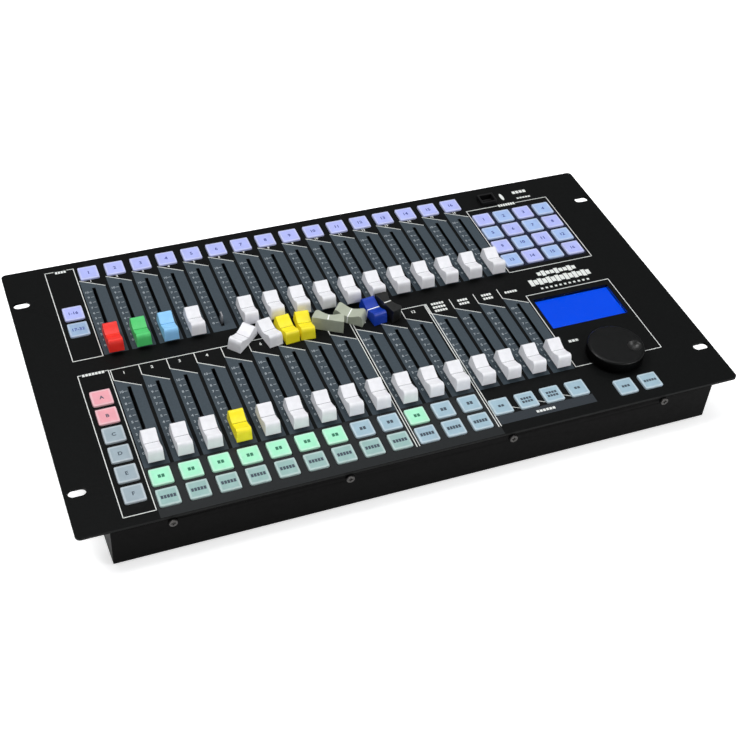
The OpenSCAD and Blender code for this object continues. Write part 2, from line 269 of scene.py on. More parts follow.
def dashes(mesh, count, x, y, width, height, slot=0, z=PRINT_Z):
    """Adds a row of small bars that stands for a printed word."""
    pitch = width / count
    for n in range(count):
        bar(mesh, x + (n - (count - 1) / 2) * pitch, y, pitch * 0.8, height, slot, z)


def subdivided(mesh, levels):
    """A mesh after Catmull-Clark subdivision."""
    data = bpy.data.meshes.new("cage")
    mesh.to_mesh(data)
    mesh.free()
    cage = bpy.data.objects.new("cage", data)
    scene.collection.objects.link(cage)
    rounding = cage.modifiers.new("round", "SUBSURF")
    rounding.levels = rounding.render_levels = levels
    result = bmesh.new()
    result.from_object(cage, bpy.context.evaluated_depsgraph_get())
    bpy.data.objects.remove(cage)
    bpy.data.meshes.remove(data)
    return result


def finished_data(name, mesh, materials, sharp=35):
    """Mesh data in metres from a mesh in mm, shaded smooth up to a sharp angle in degrees."""
    bmesh.ops.recalc_face_normals(mesh, faces=mesh.faces)
    data = bpy.data.meshes.new(name)
    mesh.to_mesh(data)
    mesh.free()
    data.transform(Matrix.Scale(MM, 4))
    for material in materials:
        data.materials.append(material)
    data.polygons.foreach_set("use_smooth", [True] * len(data.polygons))
    data.set_sharp_from_angle(angle=math.radians(sharp))
    return data


def add_piece(name, data, body, stands_for=(), place=PANEL):
    """Puts mesh data in the scene, riding on a CAD body."""
    piece = bpy.data.objects.new(name, data)
    scene.collection.objects.link(piece)
    piece.matrix_world = place
    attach(piece, body)
    if stands_for:
        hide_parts(*stands_for)
    return piece


# ---------- materials ----------


def linear(red, green, blue):
    """A screen colour of 0 to 255 a channel as linear light, with full alpha."""
    def channel(value):
        value /= 255
        return value / 12.92 if value <= 0.04045 else ((value + 0.055) / 1.055) ** 2.4
    return (channel(red), channel(green), channel(blue), 1)


def scaled(colour, factor):
    """A colour made lighter or darker by a factor, with full alpha."""
    return tuple(min(1, c * factor) for c in colour[:3]) + (1,)


def painted_rim_highlight(colour):
    """A colour mixed with some white: the painted highlight on a key's rim."""
    return tuple(c * 0.74 + 0.19 for c in colour[:3]) + (1,)


class Surface:
    """A material under construction: its Principled shader and helpers that add detail to it."""

    def __init__(self, name, roughness, specular=0.5):
        self.material = bpy.data.materials.new(name)
        self.material.use_nodes = True
        self.tree = self.material.node_tree
        self.shader = self.tree.nodes["Principled BSDF"]
        self.set("Roughness", roughness)
        self.set("Specular IOR Level", specular)
        coordinates = self.tree.nodes.new("ShaderNodeTexCoord")
        self.place = coordinates.outputs["Object"]
        self.height = None

    def set(self, socket, value):
        self.shader.inputs[socket].default_value = value

    def link(self, output, socket):
        self.tree.links.new(output, self.shader.inputs[socket])

    def noise(self, size_mm, detail=3, stretch=(1, 1, 1)):
        """Noise whose features are about size_mm across."""
        mapping = self.tree.nodes.new("ShaderNodeMapping")
        mapping.inputs["Scale"].default_value = [s / (size_mm * MM) for s in stretch]
        texture = self.tree.nodes.new("ShaderNodeTexNoise")
        texture.inputs["Scale"].default_value = 1
        texture.inputs["Detail"].default_value = detail
        self.tree.links.new(self.place, mapping.inputs["Vector"])
        self.tree.links.new(mapping.outputs["Vector"], texture.inputs["Vector"])
        return texture.outputs["Fac"]

    def ramp(self, value, low, high, start=0.35, stop=0.65):
        """Colours or greys from low to high as value goes from start to stop."""
        node = self.tree.nodes.new("ShaderNodeValToRGB")
        ends = node.color_ramp.elements
        ends[0].position, ends[1].position = start, stop
        ends[0].color = low if isinstance(low, tuple) else (low, low, low, 1)
        ends[1].color = high if isinstance(high, tuple) else (high, high, high, 1)
        self.tree.links.new(value, node.inputs["Fac"])
        return node.outputs["Color"]

    def mottle(self, colour, size_mm, spread):
        """A base colour that varies a little over the surface."""
        tones = self.ramp(self.noise(size_mm), scaled(colour, 1 - spread), scaled(colour, 1 + spread))
        self.link(tones, "Base Color")

    def rough(self, low, high, size_mm, stretch=(1, 1, 1)):
        """A roughness that varies over the surface."""
        self.link(self.ramp(self.noise(size_mm, 4, stretch), low, high), "Roughness")

    def grain(self, size_mm, depth_mm, stretch=(1, 1, 1)):
        """A bump of that feature size and depth, on top of any before it."""
        bump = self.tree.nodes.new("ShaderNodeBump")
        bump.inputs["Distance"].default_value = depth_mm * MM
        self.tree.links.new(self.noise(size_mm, 2, stretch), bump.inputs["Height"])
        if self.height:
            self.tree.links.new(self.height, bump.inputs["Normal"])
        self.height = bump.outputs["Normal"]
        self.link(self.height, "Normal")


def powder_coat(name, colour, specular):
    """Fine-textured powder coat with faint handling marks in its sheen."""
    surface = Surface(name, 0.5, specular)
    surface.mottle(colour, 1.5, 0.15)
    surface.rough(0.44, 0.52, 3)
    surface.grain(0.6, 0.02)
    return surface.material


def moulded(name, colour, roughness=0.42, grain_mm=0.35, depth_mm=0.012,
            glow=0.0, soft=0.0, specular=0.45):
    """Moulded plastic with a fine spark-eroded grain, optionally soft to light and glowing: from a
    lamp under a key's face, and as painted highlight on a key's rim.
    """
    surface = Surface(name, roughness, specular)
    surface.mottle(colour, 5, 0.035)
    surface.rough(roughness - 0.05, roughness + 0.08, 3)
    surface.grain(grain_mm, depth_mm)
    if soft:
        surface.set("Subsurface Weight", soft)
        surface.set("Subsurface Radius", (0.0012, 0.0012, 0.0012))
        surface.set("Subsurface Scale", 1.0)
    if glow:
        surface.set("Emission Color", colour)
        surface.set("Emission Strength", glow)
    return surface.material


def screen_print(name, colour):
    """Slightly uneven screen-print ink."""
    surface = Surface(name, 0.6, specular=0.3)
    surface.mottle(colour, 1.6, 0.07)
    surface.grain(0.3, 0.01)
    return surface.material


def plated_steel(name, colour, roughness=0.32):
    """Drawn, plated steel with fine lines along Y."""
    surface = Surface(name, roughness)
    surface.set("Metallic", 1.0)
    surface.mottle(colour, 4, 0.08)
    surface.rough(roughness - 0.08, roughness + 0.12, 0.6, stretch=(1, 0.05, 1))
    surface.grain(0.4, 0.01, stretch=(1, 0.04, 1))
    return surface.material


def rubber(name, colour):
    """Matt rubber with a coarse grain."""
    surface = Surface(name, 0.8, specular=0.25)
    surface.mottle(colour, 2, 0.15)
    surface.grain(0.5, 0.05)
    return surface.material


def circuit_board(name, colour):
    """Solder mask over a faint relief of copper tracks."""
    surface = Surface(name, 0.35)
    tracks = surface.tree.nodes.new("ShaderNodeTexBrick")
    tracks.inputs["Scale"].default_value = 1 / (18 * MM)
    tracks.inputs["Mortar Size"].default_value = 0.03
    tracks.inputs["Color1"].default_value = colour
    tracks.inputs["Color2"].default_value = scaled(colour, 1.3)
    tracks.inputs["Mortar"].default_value = scaled(colour, 2.2)
    surface.tree.links.new(surface.place, tracks.inputs["Vector"])
    surface.link(tracks.outputs["Color"], "Base Color")
    surface.grain(1.2, 0.02)
    return surface.material


def clear_window(name):
    """Clear acrylic with a trace of haze."""
    surface = Surface(name, 0.03, specular=0.1)
    surface.set("Transmission Weight", 1.0)
    surface.set("IOR", 1.1)
    surface.mottle((0.93, 0.95, 1.0, 1), 20, 0.02)
    surface.rough(0.02, 0.07, 12)
    return surface.material


def lit_display(name, colour):
    """A lit liquid-crystal panel with its fine dot grid."""
    surface = Surface(name, 0.3, specular=0.1)
    surface.set("Emission Strength", 0.92)
    dots = surface.tree.nodes.new("ShaderNodeTexBrick")
    dots.offset = 0
    dots.inputs["Scale"].default_value = 1 / (0.5 * MM)
    dots.inputs["Brick Width"].default_value = 1
    dots.inputs["Row Height"].default_value = 1
    dots.inputs["Mortar Size"].default_value = 0.04
    dots.inputs["Color1"].default_value = colour
    dots.inputs["Color2"].default_value = scaled(colour, 0.97)
    dots.inputs["Mortar"].default_value = scaled(colour, 0.82)
    surface.tree.links.new(surface.place, dots.inputs["Vector"])
    surface.link(dots.outputs["Color"], "Emission Color")
    surface.mottle(scaled(colour, 0.02), 30, 0.1)
    return surface.material


PANEL_BLACK = powder_coat("panel_black", linear(14, 15, 15), 0.07)
# The tray's black is a darker, duller copy of the panel's: painted shade on the tray's front and
# sides.
CASE_BLACK_SHADED = powder_coat("case_black", linear(4, 4, 4), 0.035)
STEEL = plated_steel("bare_steel", (0.62, 0.62, 0.64, 1))
# The slider housings' steel is near black so the fader slots read black: painted shade in the slots.
SLOT_SHADE_STEEL = plated_steel("steel_painted_slot_shade", (0.02, 0.02, 0.021, 1), 0.6)
SCREW_BLACK = plated_steel("screw_black", (0.075, 0.072, 0.07, 1), 0.45)
FOOT_RUBBER = rubber("foot_rubber", (0.02, 0.02, 0.02, 1))
WHEEL_BLACK = moulded("wheel_black", linear(9, 10, 10), 0.34, 0.5, 0.006, specular=0.2)
# The dimple is a lighter, glossier copy of the wheel plastic, so that it shows a painted highlight.
DIMPLE_HIGHLIGHT = moulded("dimple_painted_highlight", linear(28, 28, 27), 0.42, 0.5, 0.004, specular=0.5)
# The wheel's side wall is painted shade: a near-black, dull copy of the wheel plastic.
WHEEL_SIDE_SHADE = moulded("wheel_side_painted_shade", linear(4, 4, 4), 0.6, 0.4, 0.02, specular=0.04)
BOARD_GREEN = circuit_board("board_green", (0.01, 0.12, 0.05, 1))
SOCKET_BLACK = moulded("socket_black", linear(15, 15, 16), 0.42, specular=0.25)
ROCKER_BLACK = moulded("rocker_black", linear(20, 20, 21), 0.25)
RIBBON_GREY = moulded("ribbon_grey", linear(150, 150, 152), 0.55)
WINDOW = clear_window("window_clear")
DISPLAY_BLUE = lit_display("lcd_blue", linear(0, 80, 246))
PRINT_WHITE = screen_print("print_white", linear(226, 229, 226))
PRINT_GREY = screen_print("print_grey", linear(158, 166, 171))
PRINT_SLATE = screen_print("print_slate", linear(58, 69, 77))
PRINT_DARK = screen_print("print_dark", linear(42, 48, 54))
PRINT_FIELD = screen_print("print_field", linear(23, 26, 28))
PRINT_NAVY = screen_print("print_navy", linear(12, 20, 48))
LEGEND_BLUE = screen_print("legend_blue", linear(62, 72, 160))
LEGEND_GREEN = screen_print("legend_green", linear(46, 118, 88))
LEGEND_DARK = screen_print("legend_dark", linear(66, 78, 90))

CAP_COLOURS = {
    "cap_white": linear(236, 236, 240),
    "cap_red": linear(242, 48, 38),
    "cap_green": linear(82, 204, 114),
    "cap_sky": linear(144, 204, 250),
    "cap_yellow": linear(254, 234, 32),
    "cap_stone": linear(176, 182, 164),
    "cap_blue": linear(10, 56, 168),
    "cap_black": linear(24, 25, 24),
}
CAP_MATERIALS = {name: moulded(name, colour, 0.36, soft=0.15) for name, colour in CAP_COLOURS.items()}
# The line across each cap: a printed white line on the inlaid caps; on the grooved caps a darker tone
# of the plastic that is painted shade in the groove, and a lighter orange on the red cap.
CAP_LINES_AND_GROOVE_SHADE = {
    "cap_white": screen_print("groove_shade_on_white", linear(122, 120, 126)),
    "cap_red": screen_print("line_on_red", linear(250, 84, 40)),
    "cap_green": screen_print("groove_shade_on_green", linear(20, 84, 40)),
    "cap_sky": screen_print("groove_shade_on_sky", linear(50, 100, 160)),
    "cap_yellow": screen_print("groove_shade_on_yellow", linear(92, 80, 16)),
    "cap_stone": screen_print("line_on_stone", linear(240, 242, 238)),
    "cap_blue": screen_print("line_on_blue", linear(236, 240, 246)),
    "cap_black": screen_print("line_on_black", linear(232, 234, 232)),
}

# each key plastic: its colour and how strongly the lamp under it shows
KEY_COLOURS = {
    "key_lavender": (linear(172, 180, 236), 0.08),
    "key_ice_blue": (linear(156, 182, 226), 0.08),
    "key_pale": (linear(150, 176, 206), 0.03),
    "key_grey": (linear(156, 172, 181), 0.0),
    "key_teal": (linear(151, 185, 181), 0.0),
    "key_ice": (linear(158, 186, 200), 0.0),
    "key_mint": (linear(156, 224, 190), 0.15),
    "key_pink": (linear(226, 158, 168), 0.11),
}
# The rim and sides of each key get a paler copy of its plastic that glows a little even where no lamp
# is under it: a painted highlight.
KEY_MATERIALS = {
    name: (
        moulded(name + "_face", colour, 0.5, 0.5, 0.015, glow, soft=0.3),
        moulded(name + "_rim_painted_highlight", painted_rim_highlight(colour), 0.35, 0.5, 0.01, 0.06 + glow / 2, soft=0.3),
    )
    for name, (colour, glow) in KEY_COLOURS.items()
}


# ---------- faders ----------

# the height of the cap's top at each distance from its middle line
CAP_TOP = {
    12.0: 9.6, 11.4: 11.3, 10.4: 12.15, 8.9: 12.3, 6.5: 11.0, 3.5: 9.75, 1.0: 9.2, 0.45: 9.1, 0.2: 9.1,
}
# caps with a broad white line inlaid over their middle, where the others have a fine groove
INLAID_CAPS = ("cap_stone", "cap_blue", "cap_black")


def cap_corner(x, y, z):
    """Leans the cap's sides and ends in, and dishes its top."""
    rise = (z - CAP_BASE) / (CAP_PEAK - CAP_BASE)
    return x * (1 - 0.07 * rise), y * (1 - 0.07 * rise), CAP_BASE + rise * (CAP_TOP[abs(y)] - CAP_BASE)


def grooved_cap_corner(x, y, z):
    """The same, with a groove round the middle of the cap."""
    x, lean_y, lean_z = cap_corner(x, y, z)
    if abs(y) < 0.3 and z > CAP_BASE:
        return x * 0.965, lean_y, lean_z - 0.5 * (z == CAP_PEAK)
    return x, lean_y, lean_z


def cap_mesh(cap):
    """The cap's rounded skin. Slot 0 is the plastic and slot 1 the line across the dish: a printed
    line on the inlaid caps, painted shade along the groove on the others.
    """
    mesh = bmesh.new()
    inlaid = cap in INLAID_CAPS
    corner = cap_corner if inlaid else grooved_cap_corner
    line_half = 0.5 if inlaid else 0.3
    half_w = CAP_W / 2
    xs = (-half_w, -half_w + 0.5, 0, half_w - 0.5, half_w)
    ys = [-y for y in CAP_TOP] + list(reversed(CAP_TOP))
    zs = (CAP_BASE, CAP_BASE + 0.4, CAP_PEAK - 0.8, CAP_PEAK)
    lattice(mesh, xs, ys, zs, corner,
            lambda x, y, z: int(abs(y) < line_half and (inlaid and z > CAP_BASE or z == CAP_PEAK)))
    return subdivided(mesh, 2)


def add_lever(mesh, slot):
    """The steel blade and the carriage on its foot."""
    lattice(
        mesh, (-0.6, -0.4, 0.4, 0.6), (-2, -1.7, 1.7, 2), (-6, LEVER_TOP - 0.3, LEVER_TOP),
        lambda x, y, z: (x * 0.8, y * 0.9, z) if z == LEVER_TOP else (x, y, z),
        lambda x, y, z: slot,
    )
    block(mesh, (-3.2, -5, -9.7), (3.2, 5, -5.3), slot)


def fader_data(cap):
    """Mesh data of a lever with a cap of that colour, or of the bare lever."""
    mesh = cap_mesh(cap) if cap else bmesh.new()
    add_lever(mesh, 2)
    cap = cap or "cap_white"
    return finished_data(cap, mesh, [CAP_MATERIALS[cap], CAP_LINES_AND_GROOVE_SHADE[cap], STEEL], 50)


# the caps that aren't white, and the one that is missing
UPPER_CAPS = {1: "cap_red", 2: "cap_green", 3: "cap_sky", 5: None}
LOWER_CAPS = {4: "cap_yellow"}


def add_faders():
    """The faders of both banks. All caps of one colour share their mesh data."""
    shared = {}
    for bank, special in (("upper", UPPER_CAPS), ("lower", LOWER_CAPS)):
        for i in CHANNELS:
            cap = special.get(i, "cap_white")
            if cap not in shared:
                shared[cap] = fader_data(cap)
            node = fader_node(bank, i)
            place = PANEL @ Matrix.Translation(panel_spot(*node_box(node)))
            add_piece(node + ("_cap" if cap else "_lever"), shared[cap], "%s_%02d" % (bank, i),
                      [node], place)


# the loose caps from the left: colour, turn in degrees, and whether each lies on its side
LOOSE_CAPS = (
    ("cap_white", -48, False), ("cap_white", 10, False), ("cap_yellow", 5, False),
    ("cap_yellow", -4, False), ("cap_stone", 60, True), ("cap_stone", 50, False),
    ("cap_blue", 8, False), ("cap_black", 14, True),
)


def add_loose_caps():
    """The spare caps, each in the place of its CAD solid."""
    boxes = sorted(solid_boxes("spare_caps"), key=lambda b: b[0].x + b[1].x)
    for n, ((low, high), (cap, turn, on_side)) in enumerate(zip(boxes, LOOSE_CAPS), 1):
        spot = Matrix.Translation(panel_spot(low, high, low.z))
        place = PANEL @ spot @ Matrix.Rotation(math.radians(turn), 4, "Z")
        if on_side:
            lift = Vector((-(CAP_BASE + CAP_PEAK) / 2, 0, CAP_W / 2)) * MM
            place = place @ Matrix.Translation(lift) @ Matrix.Rotation(math.radians(90), 4, "Y")
        else:
            place = place @ Matrix.Translation(Vector((0, 0, -CAP_BASE)) * MM)
        data = finished_data("spare_" + cap, cap_mesh(cap), [CAP_MATERIALS[cap], CAP_LINES_AND_GROOVE_SHADE[cap]], 50)
        stands_for = ["spare_caps"] if n == 1 else ()
        add_piece("spare_cap_%d" % n, data, "loose_caps", stands_for, place)


# ---------- keys ----------


def key_corner(x, y, z):
    """Rounds a key's corners in plan and narrows it a little towards its face."""
    half = KEY_W / 2
    pull = 0.965 if abs(x) == half and abs(y) == half else 1
    lean = 0.985 if z == KEY_TOP else 1
    return x * pull * lean, y * pull * lean, z


def key_mesh():
    """One key: rounded cap, hidden flange and plunger. Slot 0 is the face and slot 1 the rest, which
    wears the key's painted rim highlight.
    """
    mesh = bmesh.new()
    half = KEY_W / 2
    rim = 0.7
    flange_top, flange_bottom, plunger_bottom = -2.4, -3.4, -6
    steps = (-half, -half + rim, -2, 2, half - rim, half)
    heights = (KEY_SKIRT, KEY_SKIRT + 0.3, KEY_TOP - 0.4, KEY_TOP)
    lattice(mesh, steps, steps, heights, key_corner,
            lambda x, y, z: int(z < KEY_TOP or max(abs(x), abs(y)) > half - rim))
    mesh = subdivided(mesh, 2)
    neck, flange, stem = half - 0.4, half + 1.2, 1.4
    block(mesh, (-neck, -neck, flange_top), (neck, neck, KEY_SKIRT + 0.2), 1)
    block(mesh, (-flange, -flange, flange_bottom), (flange, flange, flange_top), 1)
    block(mesh, (-stem, -stem, plunger_bottom), (stem, stem, flange_bottom), 1)
    return mesh


def copy_into(target, source, x, y, slot):
    """Adds a copy of a mesh, moved to (x, y), with its material slots moved up by slot."""
    matching = {v: target.verts.new((v.co.x + x, v.co.y + y, v.co.z)) for v in source.verts}
    for face in source.faces:
        target.faces.new([matching[v] for v in face.verts]).material_index = face.material_index + slot


def add_key_group(node, body, colours, legend_of, inks):
    """All keys of a node as one piece, with the colour and the legend of each."""
    used = sorted(set(colours))
    materials = [material for name in used for material in KEY_MATERIALS[name]]
    mesh = bmesh.new()
    key = key_mesh()
    for n, (spot, colour) in enumerate(zip(middles(node), colours, strict=True)):
        copy_into(mesh, key, spot.x, spot.y, 2 * used.index(colour))
        legend_of(mesh, n, spot.x, spot.y, len(materials))
    key.free()
    data = finished_data(node, mesh, materials + inks, 40)
    add_piece(node + "_caps", data, body, [node])


# the height of the legends' face
LEGEND_Z = KEY_TOP + 0.02


def number_legend(mesh, n, x, y, slot):
    """The key's number, counted from one."""
    write(mesh, str(n + 1), x, y, 3.4, slot, LEGEND_Z)


def select_legend(mesh, n, x, y, slot):
    """Number ranges on the two page keys, and letters in the second ink on the six group keys."""
    text = ("1-16", "17-32", "A", "B", "C", "D", "E", "F")[n]
    write(mesh, text, x, y, 3.2, slot + (n > 1), LEGEND_Z)


# the on keys from the left: lit mint or unlit
ON_KEY_COLOURS = ["key_mint"] * 7 + ["key_ice"] * 2 + ["key_mint"] + ["key_ice"] * 2


def on_legend(mesh, n, x, y, slot):
    """Two bars, in the first ink on the lit keys and in the second on the others."""
    dashes(mesh, 2, x, y, 4.8, 2.8, slot + (ON_KEY_COLOURS[n] != "key_mint"), LEGEND_Z)


def flash_legend(mesh, n, x, y, slot):
    """Five bars."""
    dashes(mesh, 5, x, y, 10.4, 2.8, slot, LEGEND_Z)


def function_legend(mesh, n, x, y, slot):
    """One or two rows of bars, in the keys' order from the rear and then the left."""
    rows = ((2,), (4, 4), (4, 4), (2,), (3,), (5,))[n]
    for row, count in enumerate(rows):
        drop = (row - (len(rows) - 1) / 2) * 3
        dashes(mesh, count, x, y - drop, 1.9 * count + 1.0, 2.1, slot, LEGEND_Z)


def add_keys():
    """The six key groups."""
    add_key_group("scene_keys", "scene_keys_set",
                  ["key_lavender"] * 16, number_legend, [LEGEND_BLUE])
    add_key_group("keypad_keys", "keypad_keys_set",
                  ["key_ice_blue" if (n // 4 + n) % 2 else "key_lavender" for n in range(16)],
                  number_legend, [LEGEND_BLUE])
    add_key_group("select_keys", "select_keys_set",
                  ["key_lavender", "key_pale"] + ["key_pink"] * 2 + ["key_grey"] * 4,
                  select_legend, [LEGEND_BLUE, LEGEND_DARK])
    add_key_group("on_keys", "on_keys_set",
                  ON_KEY_COLOURS, on_legend, [LEGEND_GREEN, LEGEND_DARK])
    add_key_group("flash_keys", "flash_keys_set",
                  ["key_teal"] * 9 + ["key_ice"] * 3, flash_legend, [LEGEND_DARK])
    add_key_group("function_keys", "function_keys_set",
                  ["key_ice"] * 6, function_legend, [LEGEND_DARK])


# ---------- print on the panel ----------


def column_places():
    """The x of each fader column."""
    return [middles(fader_node("upper", i))[0].x for i in CHANNELS]


def add_print(name, mesh, material):
    """Puts a printed layer on the desk."""
    add_piece(name, finished_data(name, mesh, [material]), "desk")


def polygon(mesh, corners, z):
    """Adds a flat printed polygon."""
    mesh.faces.new([mesh.verts.new((x, y, z)) for x, y in corners])


def rectangle(mesh, x0, x1, y0, y1, z):
    """Adds a flat printed rectangle."""
    polygon(mesh, ((x0, y0), (x1, y0), (x1, y1), (x0, y1)), z)


def strip_part(mesh, x0, x1, bottom, top, left):
    """Adds the part of a strip from x0 to x1; its top edge falls from top at the strip's left."""
    y0, y1 = (top - (x - left) * STRIP_SLANT for x in (x0, x1))
    polygon(mesh, ((x0, bottom), (x1, bottom), (x1, y1), (x0, y0)), STRIP_Z)


def print_strips():
    """The grey strip behind each fader, split by its slot, with a slanted top."""
    strips = bmesh.new()
    for x in column_places():
        left, right = x - STRIP_LEFT, x + STRIP_RIGHT
        slot_left, slot_right = x - SLOT_HALF, x + SLOT_HALF
        for strip in (UPPER_STRIP, LOWER_STRIP):
            top, bottom = strip["top"], strip["bottom"]
            strip_part(strips, left, slot_left, bottom, top, left)
            strip_part(strips, slot_right, right, bottom, top, left)
            strip_part(strips, slot_left, slot_right, strip["slot_end"], top, left)
            rectangle(strips, slot_left, slot_right, bottom, bottom + 5, STRIP_Z)
    add_print("print_fader_strips", strips, PRINT_SLATE)


def print_dark_fields():
    """The darker field round the on and flash keys, and the one under the cue keys."""
    columns = column_places()[:12]
    left, right = columns[0] - 9, columns[-1] + 11.9
    flash_y, on_y = middles("flash_keys")[0].y, middles("on_keys")[0].y
    fields = bmesh.new()
    rows = (
        (PANEL_FRONT, flash_y - KEY_HOLE),
        (flash_y + KEY_HOLE, on_y - KEY_HOLE),
        (on_y + KEY_HOLE, LOWER_STRIP["bottom"] - 0.1),
    )
    for y0, y1 in rows:
        rectangle(fields, left, right, y0, y1, FIELD_Z)
    edges = [left] + [x + side * KEY_HOLE for x in columns for side in (-1, 1)] + [right]
    for x0, x1 in zip(edges[::2], edges[1::2]):
        for y in (flash_y, on_y):
            rectangle(fields, x0, x1, y - KEY_HOLE, y + KEY_HOLE, FIELD_Z)
    add_print("print_key_fields", fields, PRINT_FIELD)
    cue_field = bmesh.new()
    rectangle(cue_field, *CUE_FIELD, STRIP_Z)
    add_print("print_cue_field", cue_field, PRINT_DARK)


def print_keypad_gaps():
    """The navy grid between the keypad's keys. Its rows lie a hair over its columns."""
    spots = middles("keypad_keys")
    xs = sorted({round(spot.x, 2) for spot in spots})
    ys = sorted({round(spot.y, 2) for spot in spots})
    border = 1.2
    grid = bmesh.new()
    for axis_x, places, others in ((True, xs, ys), (False, ys, xs)):
        first, last = places[0] - KEY_HOLE, places[-1] + KEY_HOLE
        gaps = [(first - border, first), (last, last + border)]
        gaps += [(a + KEY_HOLE, b - KEY_HOLE) for a, b in zip(places, places[1:])]
        ends = (others[0] - KEY_HOLE, others[-1] + KEY_HOLE)
        for gap in gaps:
            if axis_x:
                rectangle(grid, *gap, *ends, GRID_Z)
            else:
                rectangle(grid, *ends, *gap, GRID_Z + 0.004)
    add_print("print_keypad_gaps", grid, PRINT_NAVY)


def print_scales():
    """Ten to nought beside every slot, and the dash of each step."""
    full_scale = 10
    marks = bmesh.new()
    for x in column_places():
        for top in SCALE_TOPS:
            for step in range(full_scale + 1):
                y = top - step * SCALE_STEP
                write(marks, str(full_scale - step), x - 5.9, y, 2.3)
                bar(marks, x - 3.1, y, 2.2, 0.45)
    add_print("print_scales", marks, PRINT_GREY)


def print_bank_lines(ink):
    """The white lines over the fader banks, with the channel numbers."""
    columns = column_places()
    head, shoulder, foot = 8.7, -2, -125
    line(ink, (columns[0] - 9, head), (columns[11] + 12.2, head))
    for n, x in enumerate(columns):
        line(ink, (x - 8.3, 110), (x + 8.7, 100))
        write(ink, str(n + 1), x - 0.3, 108.2, 2.4)
        line(ink, (x - 8.5, head), (x - 8.5, shoulder))
        line(ink, (x - 8.5, shoulder), (x + 8.5, -12.2))
        if n < 12:
            write(ink, str(n + 1), x, 3.7, 2.8)
    for x in (-9, -7, 52.2, 54):
        line(ink, (x, head), (x, foot))
    # the rows of bars over each of the last four columns, and the bars in a row
    labels = ((3, 5), (2, 4), (2, 4), (1, 5))
    for x, (rows, count) in zip(columns[12:], labels):
        for row in range(rows):
            dashes(ink, count, x + 1, 3.4 + (rows - 1) * 2 - row * 4, 2.1 * count, 2.3)


def print_frames(ink):
    """The white frames round the select keys, the keypad and the display, with their label bars."""
    frame_lines(ink, *PAGE_FRAME, skip_top=(-203.5, -193))
    dashes(ink, 4, -198.2, 124.4, 8.4, 2.6)
    frame_lines(ink, *GROUP_FRAME, skip_top=(-207.5, -190.5))
    dashes(ink, 7, -199, 8.6, 16, 2.4)
    frame_lines(ink, *KEYPAD_FRAME, skip_top=(159.5, 176.5))
    dashes(ink, 7, 168, 106.4, 15.4, 3)
    frame_lines(ink, *DISPLAY_FRAME)
    dashes(ink, 3, 143.3, -61.4, 8.2, 2.4)


def print_lamp_mark(ink):
    """A small upright oval beside the lamp socket, in thin bars, and the socket's labels."""
    thin_bars = 24
    for n in range(thin_bars):
        lean = n / (thin_bars - 1) * 2 - 1
        bar(ink, 168.6, 117 + 4.3 * lean, 2.9 * math.sqrt(1.04 - lean * lean), 0.4)
    dashes(ink, 4, 185.8, 119.8, 12.8, 3.4)
    dashes(ink, 5, 186.4, 111.8, 12.8, 1.8)


def print_block_pattern(ink):
    """Three rows of plain blocks behind the display, the lowest of small squares."""
    pitch, square = 3.8, 1.9
    for n in range(9):
        bar(ink, 153.4 + n * pitch, 16.2, 3.2, 4 + 2.2 * (n % 3 == 1))
    for n in range(14):
        bar(ink, 142.8 + n * pitch, 7.6, 3.3, 7.4 - 1.8 * (n % 2))
    for n in range(11):
        bar(ink, 148 + n * 4, -0.4, square, square)


def print_cue_links(ink):
    """The thin links between the cue keys, and the label under them."""
    for x in (71.6, 91.6, 111.6):
        line(ink, (x - 2.3, -110.6), (x + 2.3, -113), 0.4)
    dashes(ink, 6, 91, -120, 15, 2.2)


def print_rear_labels():
    """Three plain bars over each socket, the power inlet and the switch on the rear wall."""
    labels = bmesh.new()
    wall = node_box("case_tray")[1].y
    for node in ("rear_sockets", "power_inlet", "switch_frame"):
        for low, high in solid_boxes(node):
            middle = (low.x + high.x) / 2
            for x in (middle - 3.2, middle, middle + 3.2):
                start = (x - 1.2, wall - 0.01, high.z + 2.6)
                block(labels, start, (x + 1.2, wall + 0.03, high.z + 4.4))
    add_print("print_rear_labels", labels, PRINT_WHITE)


def add_panel_print():
    """All the print on the panel, and the rear wall's labels."""
    print_strips()
    print_dark_fields()
    print_keypad_gaps()
    print_scales()
    ink = bmesh.new()
    print_bank_lines(ink)
    print_frames(ink)
    print_lamp_mark(ink)
    print_block_pattern(ink)
    print_cue_links(ink)
    add_print("print_lines", ink, PRINT_WHITE)
    print_rear_labels()


# ---------- wheel and display ----------


